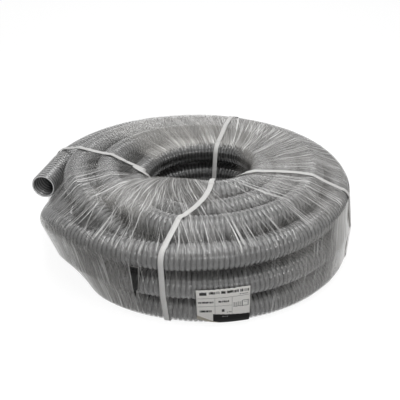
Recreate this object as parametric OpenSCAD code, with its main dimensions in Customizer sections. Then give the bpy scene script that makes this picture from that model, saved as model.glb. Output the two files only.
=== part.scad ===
// A long ribbed drain hose, wound into a ring, strapped four times and wrapped in clear film.
// The winding's axis stands on +Z and the bundle rests on its straps at z = 0.
// The hose starts in the hole at the front, winds four shells from the inside out and ends
// with an open mouth at the left, just above the loop below it.

/* [Hose] */
// Outer diameter over the ribs
hose_od = 46; // [44:0.5:46]
// Bore of the hose
hose_bore = 38; // [30:0.5:39]
// Distance from one rib to the next
rib_pitch = 8; // [7:0.5:10]
// Depth of the groove between two ribs
rib_depth = 2.2; // [1:0.1:3]
// Ribs on the last loop, counted back from the straight end
rib_count = 150; // [100:10:170]
// Length of the straight end that leaves the wrap
end_length = 85; // [60:5:100]

/* [Winding] */
// Centreline radius of the innermost shell, at the top
inner_r_top = 118; // [116:1:130]
// Centreline radius of the innermost shell, at the foot
inner_r_foot = 102; // [100:1:106]
// Distance from one shell to the next, at the top
shell_step_top = 52.3; // [52.3:0.1:56]
// Distance from one shell to the next, at the foot
shell_step_foot = 51.2; // [51.2:0.1:54]
// Sideways lean of each shell past the one inside it, at the top
lean_top = -5.6; // [-5.6:0.1:0]
// Sideways lean of each shell past the one inside it, at the foot
lean_foot = 3; // [0:0.1:3]
// Height of the innermost shell's first loop
inner_top_z = 168; // [166:1:172]
// Height of the top loops of the second and third shells
middle_top_z = 158.5; // [158.5:0.5:162]
// Height of the top loop of the outermost shell
outer_top_z = 138; // [136:1:142]
// Azimuth where the hose starts, counted from +X towards +Y
start_az = 270; // [268:1:272]
// Azimuth span in which a loop climbs, drops or steps out
cross_span_az = 46; // [44:1:48]
// Azimuth where the innermost shell's foot steps out
cross_az_first = 240; // [239:1:241]
// How much sooner each next kind of step begins than the one before it
cross_lead_az = 10; // [9:0.5:10]
// The same lead where the third shell's foot steps out
cross_lead_foot_az = 22; // [21:1:24]
// Azimuth where the last loop ends and the straight end begins
end_az = 169.3; // [168:0.1:171]
// How far the last loop is drawn in before the straight end
end_tuck = 9; // [0:1:9]

/* [Wrap and straps] */
// Thickness of the film, all its layers together
film_t = 1; // [0.8:0.1:1.5]
// Room between the hose and the film
film_gap = 0.5; // [0.4:0.1:0.8]
// Width of a strap
strap_w = 9; // [7:1:12]
// Thickness of a strap
strap_t = 0.8; // [0.6:0.1:1]
// Room between the film and what lies on it
strap_gap = 0.4; // [0.4:0.1:0.6]

/* [Label] */
// Width of the label along the bundle's side
label_w = 87; // [60:1:90]
// Thickness of the label
label_t = 0.3; // [0.2:0.1:0.5]
// Azimuth of the label's middle
label_az = 277.6; // [272:0.1:290]

/* [Hidden] */

// Distance from the part's middle to the winding's axis, along +X
axis_x = 14.6;

hose_r = hose_od / 2;
film_out = strap_t + strap_gap;
foot_z = film_out + film_t + film_gap + hose_r;

loop_rings = 24;
plain_sides = 6;
rib_sides = 8;
film_sectors = 46;
belt_points = 36;
sleeve_sides = 24;
// Keeps the two ends of the flat underside apart in the belt's list of directions
belt_tilt = 0.01;

// Turns of the winding, counted from the hose's start, at which each step begins
cross_span = cross_span_az / 360;
next_kind = 1 - cross_lead_az / 360;
out_first = 3 + (cross_az_first - start_az) / 360;
up_middle = [out_first + next_kind, out_first + next_kind + 1];
out_second = up_middle[1] + next_kind;
down_middle = [out_second + next_kind, out_second + next_kind + 1];
out_third = down_middle[1] + 1 - cross_lead_foot_az / 360;
up_outer = [out_third + next_kind, out_third + next_kind + 1];
cross_az = (start_az + 360 * up_outer[0]) % 360;
last_turn = up_outer[1] + (end_az - cross_az + 360) / 360;

middle_rise = (middle_top_z - foot_z) / 2;
outer_rise = (outer_top_z - foot_z) / 2;
outer_r_top = inner_r_top + 3 * shell_step_top;
rib_turns = rib_count * rib_pitch / (2 * PI * outer_r_top);
rib_start = last_turn - rib_turns;
// Share of a turn before the end in which the last loop is drawn in
tuck_turns = 0.2;

// Ways of the straps from the hole outwards: distance from the axis, azimuth
strap_routes = [
    [[100, 283], [124, 279.3], [174, 272], [196, 268.5], [223, 262.5], [266, 259.7], [298, 258.5]],
    [[79, 311], [100, 313], [115, 323], [128, 331], [144, 335.5], [185, 339.6], [236, 339],
     [298, 343]],
    [[79, 70.5], [120, 70.3], [192, 72], [298, 73]],
    [[79, 183.5], [104, 183.5], [116, 181.5], [135, 177], [183, 175], [215, 171], [242, 168.5],
     [289, 161.8]],
];
strap_parts = 2;
strap_outer_r = outer_r_top + hose_r;
// Directions on the belt between which a strap's welded lap lies, on the top near the hole
lap_from = 96;
lap_to = 128;
// Rows of the label: share of the way between two directions on the belt, from its lower edge up
label_rows = [[-45, -45, 0], [-30, -30, 0], [-17, -17, 0], [-10, -10, 0], [-10, 0, 0.2]];
// Azimuth where the film's free edge, stretched straight from the hose's start, meets the inner loop
tent_az = 189;

function ease(x) = let (u = min(max(x, 0), 1)) u * u * (3 - 2 * u);
function mix(a, b, u) = a + (b - a) * u;
function unit(v) = v / norm(v);
function total(list, i = 0) = i < len(list) ? list[i] + total(list, i + 1) : 0;
// Number of steps done at turn t, for steps that begin at the given turns
function steps_done(t, starts) = total([for (s = starts) ease((t - s) / cross_span)]);

// The winding: azimuth, shell number, height and radius at turn t
function turn_az(t) = start_az + 360 * t;
function turn_shell(t) = steps_done(t, [out_first, out_second, out_third]);
function turn_z(t) = foot_z
    + (inner_top_z - foot_z) * max(1 - t / out_first, 0)
    + middle_rise * (steps_done(t, up_middle) - steps_done(t, down_middle))
    + outer_rise * steps_done(t, up_outer);
function height_share(z) = min(max((z - foot_z) / (outer_top_z - foot_z), 0), 1);
// The side bulges, so a loop at half height lies nearly as far out as one at the top
function bulge(h) = 1 - (1 - h) * (1 - h);
function shell_r(s, h) = mix(inner_r_foot, inner_r_top, bulge(h))
    + s * mix(shell_step_foot, shell_step_top, bulge(h));
function shell_lean(s, h) = s * mix(lean_foot, lean_top, h);
function turn_tuck(t) = end_tuck * ease((t - last_turn + tuck_turns) / tuck_turns);
function turn_point(t) =
    let (z = turn_z(t), s = turn_shell(t), h = height_share(z), r = shell_r(s, h) - turn_tuck(t))
    [axis_x + shell_lean(s, h) + r * cos(turn_az(t)), r * sin(turn_az(t)), z];
function turn_dir(t) = unit(turn_point(t + 0.002) - turn_point(t - 0.002));

end_point = turn_point(last_turn);
end_dir = unit(end_point - turn_point(last_turn - 0.004));
mouth_point = end_point + end_length * end_dir;

// One ring of n points round the hose's centreline
function hose_ring(t, r, n) =
    let (along = t < last_turn - 0.002 ? turn_dir(t) : end_dir,
         across = unit(cross(along, [0, 0, 1])),
         up = cross(across, along))
    [for (k = [0:n - 1]) turn_point(t) + r * (cos(360 * k / n) * across + sin(360 * k / n) * up)];

// Triangles between ring i and the next one, n points each, counted from point first
function band_faces(first, i, n) = [for (k = [0:n - 1], half = [0, 1])
    let (a = first + i * n + k, b = first + i * n + (k + 1) % n)
    half == 0 ? [a, b, b + n] : [a, b + n, a + n]];

// Triangles that join a ring of n points at a to a ring of m points at b
function join_faces(a, n, b, m) = concat(
    [for (k = [0:n - 1]) [a + k, a + (k + 1) % n, b + round((k + 0.5) * m / n) % m]],
    [for (k = [0:m - 1]) [b + (k + 1) % m, b + k, a + round((k + 0.5) * n / m) % n]]);

module wound_tube() {
    plain_count = ceil(rib_start * loop_rings);
    plain_turns = [for (i = [0:plain_count - 1]) i * rib_start / plain_count];
    ribbed_turns = [for (i = [0:2 * rib_count]) rib_start + i * rib_turns / (2 * rib_count)];
    rings = concat(
        [for (t = plain_turns) each hose_ring(t, hose_r, plain_sides)],
        [for (i = [0:2 * rib_count])
            each hose_ring(ribbed_turns[i], hose_r - rib_depth * (i % 2), rib_sides)]);
    rib_base = plain_count * plain_sides;
    last_base = rib_base + 2 * rib_count * rib_sides;
    faces = concat(
        [for (k = [1:plain_sides - 2]) [0, k + 1, k]],
        [for (i = [0:plain_count - 2]) each band_faces(0, i, plain_sides)],
        join_faces(rib_base - plain_sides, plain_sides, rib_base, rib_sides),
        [for (i = [0:2 * rib_count - 1]) each band_faces(rib_base, i, rib_sides)],
        [for (k = [1:rib_sides - 2]) [last_base, last_base + k, last_base + k + 1]]);
    polyhedron(rings, faces, convexity = 20);
}

// Puts its children on the hose's last centreline point, with +Z along the hose
module at_end() {
    translate(end_point)
        rotate([0, 90, atan2(end_dir[1], end_dir[0])])
            children();
}

// Outline of the corrugated wall, from the bore outwards
function ribbed_wall(length) =
    let (ribs = floor(length / rib_pitch), rest = length - ribs * rib_pitch)
    concat(
        [[hose_bore / 2, 0], [hose_r, 0]],
        [for (i = [0:ribs - 1]) each [
            [hose_r, rest + (i + 0.15) * rib_pitch],
            [hose_r - rib_depth, rest + (i + 0.35) * rib_pitch],
            [hose_r - rib_depth, rest + (i + 0.55) * rib_pitch],
            [hose_r, rest + (i + 0.75) * rib_pitch]]],
        [[hose_r, length], [hose_bore / 2, length]]);

// Place of a loop in the vertical plane at azimuth az: [distance from the axis, height]
function loop_corner(az, s, z, tuck = 0) =
    let (h = height_share(z), lean = shell_lean(s, h), r = shell_r(s, h) - tuck)
    [lean * cos(az) + sqrt(r * r - pow(lean * sin(az), 2)), z];

// The film's free edge in the plane at azimuth az: a straight line in plan from the inner loop at
// tent_az to the hose's start, over the hollow beside that start
function tent_corner(az) =
    let (half = (start_az - tent_az) / 2, off = az - start_az + half, low = turn_z(1 - half / 180))
    [shell_r(0, 1) * cos(half) / cos(off), mix(low, inner_top_z, (tan(off) / tan(half) + 1) / 2)];

// Loops that the film is stretched over, in the vertical plane at azimuth az
function belt_corners(az) =
    let (u = ((az - cross_az) % 360 + 360) % 360 / 360,
         v = ((az - start_az) % 360 + 360) % 360 / 360,
         t0 = up_outer[0] - 1 + u,
         t1 = t0 + 1,
         t2 = t1 + 1 <= last_turn + 1 / film_sectors ? min(t1 + 1, last_turn) : t1)
    [loop_corner(az, turn_shell(t0), foot_z),
     loop_corner(az, turn_shell(t1), turn_z(t1)),
     loop_corner(az, turn_shell(t2), turn_z(t2), turn_tuck(t2)),
     loop_corner(az, 2, middle_top_z),
     loop_corner(az, 1, middle_top_z),
     loop_corner(az, 0, turn_z(v)),
     if (az > tent_az && az < start_az) tent_corner(az),
     loop_corner(az, 0, foot_z)];

// Point of a belt stretched round circles of radius r on the corners, where it faces direction a
function belt_point(corners, a, r) =
    let (n = [cos(a), sin(a)],
         reach = [for (c = corners) c * n],
         best = [for (i = [0:len(corners) - 1]) if (reach[i] == max(reach)) corners[i]][0])
    best + r * n;
// The same point in space, moved out so that the flat sectors between azimuths stay clear
function belt_3d(az, a, r) =
    let (p = belt_point(belt_corners(az), a, r),
         out = p[0] * mix(1, 1 / cos(180 / film_sectors), max(cos(a), 0)))
    [axis_x + out * cos(az), out * sin(az), p[1]];
function belt_angle(i, n) = -90 + belt_tilt + (360 - 2 * belt_tilt) * i / (n - 1);
// Point of a station: an azimuth, two directions, and the share of the way between them
function station_point(s, r) = mix(belt_3d(s[0], s[1], r), belt_3d(s[0], s[2], r), s[3]);

// Solid ring inside a belt round all the loops, with the belt's radius r at the corners
module belt_ring(r) {
    n = belt_points;
    m = film_sectors;
    rings = [for (j = [0:m - 1], i = [0:n - 1]) belt_3d(360 * j / m, belt_angle(i, n), r)];
    faces = [for (j = [0:m - 1], i = [0:n - 1], half = [0, 1])
        let (a = j * n + i, b = j * n + (i + 1) % n,
             c = (j + 1) % m * n + i, d = (j + 1) % m * n + (i + 1) % n)
        half == 0 ? [a, b, d] : [a, d, c]];
    polyhedron(rings, faces, convexity = 10);
}

// A flat band along the belt through the stations, low is the room under it
module belt_band(stations, width, low, thick, closed) {
    n = len(stations);
    film_r = hose_r + film_gap + film_t;
    under = [for (s = stations) station_point(s, film_r + low)];
    over = [for (s = stations) station_point(s, film_r + low + thick)];
    points = [for (i = [0:n - 1]) each
        let (back = closed ? (i + n - 1) % n : max(i - 1, 0),
             ahead = closed ? (i + 1) % n : min(i + 1, n - 1),
             side = width / 2 * unit(cross(under[ahead] - under[back], over[i] - under[i])))
        [under[i] - side, under[i] + side, over[i] + side, over[i] - side]];
    last = closed ? n - 1 : n - 2;
    sides = [for (i = [0:last], k = [0:3], half = [0, 1])
        let (a = 4 * i + k, b = 4 * i + (k + 1) % 4,
             c = 4 * ((i + 1) % n) + k, d = 4 * ((i + 1) % n) + (k + 1) % 4)
        half == 0 ? [a, b, d] : [a, d, c]];
    caps = closed ? [] : [[0, 2, 1], [0, 3, 2],
        [4 * n - 4, 4 * n - 3, 4 * n - 2], [4 * n - 4, 4 * n - 2, 4 * n - 1]];
    polyhedron(points, concat(sides, caps), convexity = 10);
}

// Azimuth of a strap on top between directions a and b: its route gives one for each distance out
function top_az(route, a, b, share, az, tries) =
    let (c = belt_corners(az),
         p = mix(belt_point(c, a, hose_r), belt_point(c, b, hose_r), share))
    tries == 0 ? az : top_az(route, a, b, share, lookup(p[0], route), tries - 1);
// Below the bulge it goes straight down, and straight on from the hole to the outside underneath
function strap_station(route, a, b, share) =
    let (inner = route[0][1],
         outer = route[len(route) - 1][1],
         az = a < 0 ? outer : a < 180 ? top_az(route, a, b, share, inner, 8)
             : mix(inner, outer, b < a ? share : 0))
    [az, a, b, share];

module strap(route) {
    n = belt_points;
    stations = [for (i = [0:n - 1]) let (a = belt_angle(i, n), b = belt_angle((i + 1) % n, n),
            parts = a > 0 && a < 180 ? strap_parts : 1)
        for (k = [0:parts - 1]) strap_station(route, a, b, k / parts)];
    color([0.88, 0.88, 0.86])
        belt_band(stations, strap_w, strap_gap, strap_t, true);
}

module hose_coil() {
    color([0.48, 0.49, 0.50])
        wound_tube();
}

module hose_end() {
    color([0.44, 0.45, 0.46])
        at_end()
            rotate_extrude($fn = 32)
                polygon(ribbed_wall(end_length));
}

module film_wrap() {
    color([0.80, 0.82, 0.82, 0.5])
        difference() {
            belt_ring(hose_r + film_gap + film_t);
            belt_ring(hose_r + film_gap);
            // Gap that the straight end leaves through
            at_end()
                translate([0, 0, -film_gap])
                    linear_extrude(end_length + 2 * film_gap)
                        polygon([for (k = [0:sleeve_sides - 1])
                            (hose_r + film_gap) / cos(180 / sleeve_sides)
                                * [cos(360 * k / sleeve_sides), sin(360 * k / sleeve_sides)]]);
        }
}

module strap_front() {
    strap(strap_routes[0]);
}

module strap_right() {
    strap(strap_routes[1]);
}

module strap_back() {
    strap(strap_routes[2]);
}

module strap_left() {
    strap(strap_routes[3]);
}

// The lapped and welded end of each strap, which lies on the strap itself
module strap_laps() {
    color([0.90, 0.90, 0.88])
        for (route = strap_routes)
            belt_band([for (a = [lap_from:8:lap_to]) strap_station(route, a, a, 0)],
                strap_w, strap_gap + strap_t + 0.3, strap_t, false);
}

module label() {
    half_az = label_w / 2 / strap_outer_r * 180 / PI;
    film_r = hose_r + film_gap + film_t + strap_gap;
    azs = [for (j = [-2:2]) label_az + j * half_az / 2];
    m = len(azs);
    n = len(label_rows);
    sheet = m * n;
    points = [for (thick = [0, label_t], az = azs, row = label_rows)
        station_point(concat(az, row), film_r + thick)];
    front = [for (j = [0:m - 2], i = [0:n - 2], half = [0, 1])
        let (a = sheet + j * n + i, b = a + 1, c = a + n, d = c + 1)
        half == 0 ? [a, b, d] : [a, d, c]];
    back = [for (f = front) [f[0] - sheet, f[2] - sheet, f[1] - sheet]];
    rim = concat([for (i = [0:n - 1]) i], [for (j = [1:m - 1]) j * n + n - 1],
        [for (i = [n - 2:-1:0]) (m - 1) * n + i], [for (j = [m - 2:-1:1]) j * n]);
    edge = [for (k = [0:len(rim) - 1], half = [0, 1])
        let (a = rim[k], b = rim[(k + 1) % len(rim)])
        half == 0 ? [a, b, b + sheet] : [a, b + sheet, a + sheet]];
    color([0.86, 0.86, 0.84])
        polyhedron(points, concat(front, back, edge), convexity = 4);
}

// Least gap of the hose to itself, on points of its centreline at least half a turn apart
gap_points = [for (i = [0:8 * ceil(last_turn * 6)]) turn_point(min(i / 48, last_turn))];
least_gap = min([for (i = [0:len(gap_points) - 1], j = [i + 24:1:len(gap_points) - 1])
    norm(gap_points[i] - gap_points[j])]) - hose_od;
hose_length = total([for (i = [1:len(gap_points) - 1]) norm(gap_points[i] - gap_points[i - 1])])
    + end_length;
echo(least_gap = least_gap, hose_length = hose_length, turns = last_turn, mouth = mouth_point);

hose_coil();
hose_end();
film_wrap();
strap_front();
strap_right();
strap_back();
strap_left();
strap_laps();
label();
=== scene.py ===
"""A long ribbed drain hose wound into a ring, strapped four times and wrapped in clear film.

Lengths are in metres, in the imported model's frame: the winding's axis stands on +Z, the bundle
rests on its straps at z = 0, the label faces -Y and the open mouth is at the left, towards -X.
"""

import math

import bpy
import numpy as np
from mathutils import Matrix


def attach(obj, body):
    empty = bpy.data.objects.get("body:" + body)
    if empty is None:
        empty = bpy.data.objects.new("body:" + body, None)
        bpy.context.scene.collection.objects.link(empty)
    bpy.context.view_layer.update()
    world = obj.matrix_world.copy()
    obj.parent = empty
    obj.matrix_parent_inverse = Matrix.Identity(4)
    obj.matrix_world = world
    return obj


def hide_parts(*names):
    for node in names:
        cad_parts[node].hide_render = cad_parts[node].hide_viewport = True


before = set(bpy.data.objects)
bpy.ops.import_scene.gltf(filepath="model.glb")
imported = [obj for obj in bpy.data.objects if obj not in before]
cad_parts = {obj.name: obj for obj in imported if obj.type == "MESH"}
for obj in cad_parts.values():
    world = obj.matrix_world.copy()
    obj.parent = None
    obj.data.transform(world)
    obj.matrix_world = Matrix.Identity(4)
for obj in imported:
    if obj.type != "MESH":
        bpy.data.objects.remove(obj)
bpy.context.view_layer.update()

# ------------------------ camera

CAMERA_PLACE = (0.0146, -1.1314, 0.7001)
CAMERA_DROP = math.radians(28.28)
CAMERA_LENS = 59.04


def new_object(name, data):
    """An object of the data, linked into the scene."""
    thing = bpy.data.objects.new(name, data)
    bpy.context.scene.collection.objects.link(thing)
    return thing


camera_data = bpy.data.cameras.new("camera")
camera_data.lens = CAMERA_LENS
camera_data.sensor_width = 36.0
camera = new_object("camera", camera_data)
camera.location = CAMERA_PLACE
camera.rotation_euler = (math.pi / 2 - CAMERA_DROP, 0.0, 0.0)
bpy.context.scene.camera = camera

# ------------------------ sizes, as in the part's source

AXIS_X = 0.0146
HOSE_R = 0.023
BORE_R = 0.019
RIB_PITCH = 0.008
GROOVE = 0.0022
END_LENGTH = 0.085

INNER_R_FOOT, INNER_R_TOP = 0.102, 0.118
STEP_FOOT, STEP_TOP = 0.0512, 0.0523
LEAN_FOOT, LEAN_TOP = 0.003, -0.0056
INNER_TOP_Z, MIDDLE_TOP_Z, OUTER_TOP_Z = 0.168, 0.1585, 0.138
START_AZ, END_AZ, TENT_AZ = 270.0, 169.3, 189.0
CROSS_SPAN_AZ, CROSS_FIRST_AZ = 46.0, 240.0
CROSS_LEAD_AZ, CROSS_LEAD_FOOT_AZ = 10.0, 22.0
END_TUCK = 0.009

FILM_T, FILM_GAP = 0.001, 0.0005
STRAP_W, STRAP_T, STRAP_GAP = 0.009, 0.0008, 0.0004
LABEL_W, LABEL_T, LABEL_AZ = 0.087, 0.0003, 277.6

FOOT_Z = STRAP_T + STRAP_GAP + FILM_T + FILM_GAP + HOSE_R

# Turns of the winding, counted from the hose's start, at which each step begins
CROSS_SPAN = CROSS_SPAN_AZ / 360
TUCK_TURNS = 0.2
NEXT_KIND = 1 - CROSS_LEAD_AZ / 360
OUT_FIRST = 3 + (CROSS_FIRST_AZ - START_AZ) / 360
UP_MIDDLE = (OUT_FIRST + NEXT_KIND, OUT_FIRST + NEXT_KIND + 1)
OUT_SECOND = UP_MIDDLE[1] + NEXT_KIND
DOWN_MIDDLE = (OUT_SECOND + NEXT_KIND, OUT_SECOND + NEXT_KIND + 1)
OUT_THIRD = DOWN_MIDDLE[1] + 1 - CROSS_LEAD_FOOT_AZ / 360
UP_OUTER = (OUT_THIRD + NEXT_KIND, OUT_THIRD + NEXT_KIND + 1)
CROSS_AZ = (START_AZ + 360 * UP_OUTER[0]) % 360
LAST_TURN = UP_OUTER[1] + (END_AZ - CROSS_AZ + 360) / 360

# ------------------------ the winding


def eased(x):
    """Smooth step: u * u * (3 - 2 u), where u is x held between 0 and 1."""
    u = np.clip(x, 0.0, 1.0)
    return u * u * (3.0 - 2.0 * u)


def within(value, middle, half, soft):
    """1 within half of the middle, falling to 0 over soft."""
    return 1 - eased((np.abs(value - middle) - half) / soft)


def near(angle, middle, half, soft):
    """Like within, for angles in degrees, which run round."""
    return within(np.mod(angle - middle + 180, 360), 180, half, soft)


def below(value, limit, soft):
    """1 up to the limit, falling to 0 over soft."""
    return 1 - eased((value - limit) / soft)


def mixed(low, high, share):
    """The value share of the way from low to high."""
    return low + (high - low) * share


def unit(v):
    """Each vector divided by its length."""
    return v / np.linalg.norm(v, axis=-1, keepdims=True)


def steps_done(t, starts):
    """How many of the steps that begin at the given turns are done at turn t."""
    return sum(eased((t - start) / CROSS_SPAN) for start in starts)


def turn_z(t):
    """Height of the hose at turn t: down inside, up and down in the middle shells, up outside."""
    middle = steps_done(t, UP_MIDDLE) - steps_done(t, DOWN_MIDDLE)
    return (
        FOOT_Z
        + (INNER_TOP_Z - FOOT_Z) * np.maximum(1 - t / OUT_FIRST, 0)
        + (MIDDLE_TOP_Z - FOOT_Z) / 2 * middle
        + (OUTER_TOP_Z - FOOT_Z) / 2 * steps_done(t, UP_OUTER)
    )


def turn_shell(t):
    """Number of the shell at turn t, 0 inside and 3 outside."""
    return steps_done(t, (OUT_FIRST, OUT_SECOND, OUT_THIRD))


def turn_tuck(t):
    """How far the last loop is drawn in before the straight end."""
    return END_TUCK * eased((t - LAST_TURN + TUCK_TURNS) / TUCK_TURNS)


def height_share(z):
    """0 at the foot loops and 1 from the outer top loop upwards."""
    return np.clip((z - FOOT_Z) / (OUTER_TOP_Z - FOOT_Z), 0, 1)


def shell_radius(shell, z):
    """Centreline radius: the side bulges with one less the square of the height left above."""
    bulge = 1 - (1 - height_share(z)) ** 2
    return mixed(INNER_R_FOOT, INNER_R_TOP, bulge) + shell * mixed(STEP_FOOT, STEP_TOP, bulge)


def shell_lean(shell, z):
    """How far the shell's circle stands off the axis along +X."""
    return shell * mixed(LEAN_FOOT, LEAN_TOP, height_share(z))


def turn_point(t):
    """Centreline at turn t: a circle round the axis whose radius, lean and height follow the shell."""
    t = np.asarray(t, float)
    az = np.radians(START_AZ + 360 * t)
    z, shell = turn_z(t), turn_shell(t)
    r = shell_radius(shell, z) - turn_tuck(t)
    return np.stack([AXIS_X + shell_lean(shell, z) + r * np.cos(az), r * np.sin(az), z], -1)


FINE_STEPS = 24001
NUDGE_TURNS = 0.002
END_POINT = turn_point(LAST_TURN)
END_WAY = unit(END_POINT - turn_point(LAST_TURN - 2 * NUDGE_TURNS))

FINE_TURNS = np.linspace(0, LAST_TURN, FINE_STEPS)
FINE_POINTS = turn_point(FINE_TURNS)
FINE_WAY = np.concatenate([[0.0], np.cumsum(np.linalg.norm(np.diff(FINE_POINTS, axis=0), axis=1))])
WOUND_LENGTH = FINE_WAY[-1]


def centreline(way):
    """Point and direction at each distance from the hose's start; past the last turn it is straight."""
    inside = np.clip(way, 0, WOUND_LENGTH)
    t = np.interp(inside, FINE_WAY, FINE_TURNS)
    ahead = turn_point(np.minimum(t + NUDGE_TURNS, LAST_TURN))
    along = unit(ahead - turn_point(t - NUDGE_TURNS))
    beyond = (way - inside)[:, None]
    along = np.where(beyond > 0, END_WAY, along)
    return turn_point(t) + np.where(beyond > 0, beyond * END_WAY, beyond * along), along


# ------------------------ the belt that the film follows

TENT_HALF = math.radians((START_AZ - TENT_AZ) / 2)
TENT_LOW = float(turn_z(1 - (START_AZ - TENT_AZ) / 360))
MOUTH_FADE_AZ = 24.0


def loop_corner(az, shell, z, tuck=0.0):
    """A loop in the upright plane at azimuth az (radians): distance from the axis, and height."""
    lean, r = shell_lean(shell, z), shell_radius(shell, z) - tuck
    out = lean * np.cos(az) + np.sqrt(r * r - (lean * np.sin(az)) ** 2)
    return np.stack(np.broadcast_arrays(out, z), -1)


def tent_corner(az):
    """The film's free edge beside the hose's start: a straight line in plan between two loops."""
    off = az - math.radians(START_AZ) + TENT_HALF
    share = (np.tan(off) / math.tan(TENT_HALF) + 1) / 2
    out = INNER_R_TOP * math.cos(TENT_HALF) / np.cos(off)
    return np.stack([out, mixed(TENT_LOW, INNER_TOP_Z, share)], -1)


def belt_corners(az):
    """The eight loops that a belt is stretched over in the upright plane at each azimuth."""
    az = np.mod(az, 2 * np.pi)
    u = np.mod(np.degrees(az) - CROSS_AZ, 360) / 360
    v = np.mod(np.degrees(az) - START_AZ, 360) / 360
    t0 = UP_OUTER[0] - 1 + u
    t1 = t0 + 1
    t2 = np.minimum(t1 + 1, LAST_TURN)
    past = eased((t1 + 1 - LAST_TURN) * 360 / MOUTH_FADE_AZ)[..., None]
    second = loop_corner(az, turn_shell(t1), turn_z(t1))
    top = loop_corner(az, turn_shell(t2), turn_z(t2), turn_tuck(t2))
    inner = loop_corner(az, 0.0, turn_z(v))
    in_tent = (np.degrees(az) > TENT_AZ) & (np.degrees(az) < START_AZ)
    tent = tent_corner(np.where(in_tent, az, math.radians(START_AZ) - TENT_HALF))
    return np.stack(
        [
            loop_corner(az, turn_shell(t0), FOOT_Z),
            second,
            mixed(top, second, past),
            loop_corner(az, 2.0, MIDDLE_TOP_Z),
            loop_corner(az, 1.0, MIDDLE_TOP_Z),
            inner,
            np.where(in_tent[..., None], tent, inner),
            loop_corner(az, 0.0, FOOT_Z),
        ],
        -2,
    )


def flat_way(facing):
    """The direction of a facing in the upright plane: how far out, and how far up."""
    return np.stack([np.cos(facing), np.sin(facing)], -1)


def best_corner(az, facing):
    """The loop that holds the belt where it faces direction facing: (out, up) of its middle."""
    corners = belt_corners(az)
    reach = (corners * flat_way(facing)[..., None, :]).sum(-1)
    return np.take_along_axis(corners, reach.argmax(-1)[..., None, None], -2)[..., 0, :]


def interp_rows(wanted, share, values):
    """Row by row linear interpolation: share rises from 0 to 1 along each row of values."""
    lift = 2.0 * np.arange(len(share))[:, None]
    x, xp = (wanted + lift).ravel(), (share + lift).ravel()
    flat = [np.interp(x, xp, values[..., k].ravel()) for k in range(values.shape[-1])]
    return np.stack(flat, -1).reshape(len(share), -1, values.shape[-1])


# Azimuths and ways of the sheet, facings tried for each azimuth, and how much of the way goes by length
SHEET_AZ, SHEET_WAY, SHEET_FACINGS = 720, 480, 1000
BY_LENGTH = 0.45
BELT_R = HOSE_R + FILM_GAP + FILM_T / 2


def belt_sheet():
    """The belt over all azimuths: loop middle and facing at even shares of the way round it.

    The way starts underneath, goes up the outside, in over the top and down the hole. It is
    shared out partly by length and partly by how far the belt has turned, so that bends get points.
    """
    az = 2 * np.pi * np.arange(SHEET_AZ)[:, None] / SHEET_AZ
    facing = np.linspace(-np.pi / 2 + 1e-4, 3 * np.pi / 2 - 1e-4, SHEET_FACINGS)[None, :]
    az, facing = np.broadcast_arrays(az, facing)
    corner = best_corner(az, facing)
    corner = np.concatenate([corner, corner[:, :1]], 1)
    facing = np.concatenate([facing, facing[:, :1] + 2 * np.pi], 1)
    flat = corner + BELT_R * flat_way(facing)
    step = np.linalg.norm(np.diff(flat, axis=1), axis=2)
    length = np.concatenate([np.zeros((SHEET_AZ, 1)), np.cumsum(step, axis=1)], axis=1)
    bend = (facing - facing[:, :1]) / (2 * np.pi)
    share = BY_LENGTH * length / length[:, -1:] + (1 - BY_LENGTH) * bend
    known = np.concatenate([corner, facing[..., None], length[..., None]], -1)
    return interp_rows(np.linspace(0, 1, SHEET_WAY + 1)[None, :], share, known)


SHEET = belt_sheet()


def on_belt(az, way):
    """Loop middle, facing and length along the belt at azimuth az and share way, read off the sheet."""
    i = np.mod(az, 2 * np.pi) / (2 * np.pi) * SHEET_AZ
    j = np.clip(way, 0, 1) * SHEET_WAY
    i0, j0 = np.floor(i).astype(int), np.minimum(np.floor(j).astype(int), SHEET_WAY - 1)
    u, v = (i - i0)[..., None], (j - j0)[..., None]
    i0, i1 = i0 % SHEET_AZ, (i0 + 1) % SHEET_AZ
    low = mixed(SHEET[i0, j0], SHEET[i1, j0], u)
    high = mixed(SHEET[i0, j0 + 1], SHEET[i1, j0 + 1], u)
    found = mixed(low, high, v)
    return found[..., :2], found[..., 2], found[..., 3]


def outward(az, facing):
    """The belt's outward direction in space."""
    out = np.cos(facing)
    return np.stack([out * np.cos(az), out * np.sin(az), np.sin(facing)], -1)


def belt_place(az, way, r):
    """Place in space on a belt whose radius at the loops is r."""
    corner, facing, _ = on_belt(az, way)
    middle = [AXIS_X + corner[..., 0] * np.cos(az), corner[..., 0] * np.sin(az), corner[..., 1]]
    return np.stack(middle, -1) + np.asarray(r)[..., None] * outward(az, facing)


# ------------------------ meshes


def grid_faces(rows, columns, closed_rows=False, closed_columns=False):
    """Quads of a grid of rows x columns points, which may run round in either direction."""
    i = np.arange(rows if closed_rows else rows - 1)[:, None]
    j = np.arange(columns if closed_columns else columns - 1)[None, :]
    i2, j2 = (i + 1) % rows, (j + 1) % columns
    corners = [i * columns + j, i * columns + j2, i2 * columns + j2, i2 * columns + j]
    return np.stack(np.broadcast_arrays(*corners), -1).reshape(-1, 4)


def make_piece(name, points, quads, material, more_faces=()):
    """A smooth mesh of the points and faces, which rides on the bundle."""
    mesh = bpy.data.meshes.new(name)
    faces = quads.tolist() + [list(map(int, f)) for f in more_faces]
    mesh.from_pydata(points.reshape(-1, 3).tolist(), [], faces)
    mesh.shade_smooth()
    mesh.validate()
    piece = new_object(name, mesh)
    mesh.materials.append(material)
    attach(piece, "root")
    return piece


def give(piece, name, values):
    """Writes one float or one vector for each point into the piece's mesh."""
    values = np.asarray(values, np.float32)
    kind, field = ("FLOAT", "value") if values.ndim == 1 else ("FLOAT_VECTOR", "vector")
    layer = piece.data.attributes.new(name, kind, "POINT")
    layer.data.foreach_set(field, values.ravel())


# ------------------------ node helpers


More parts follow.
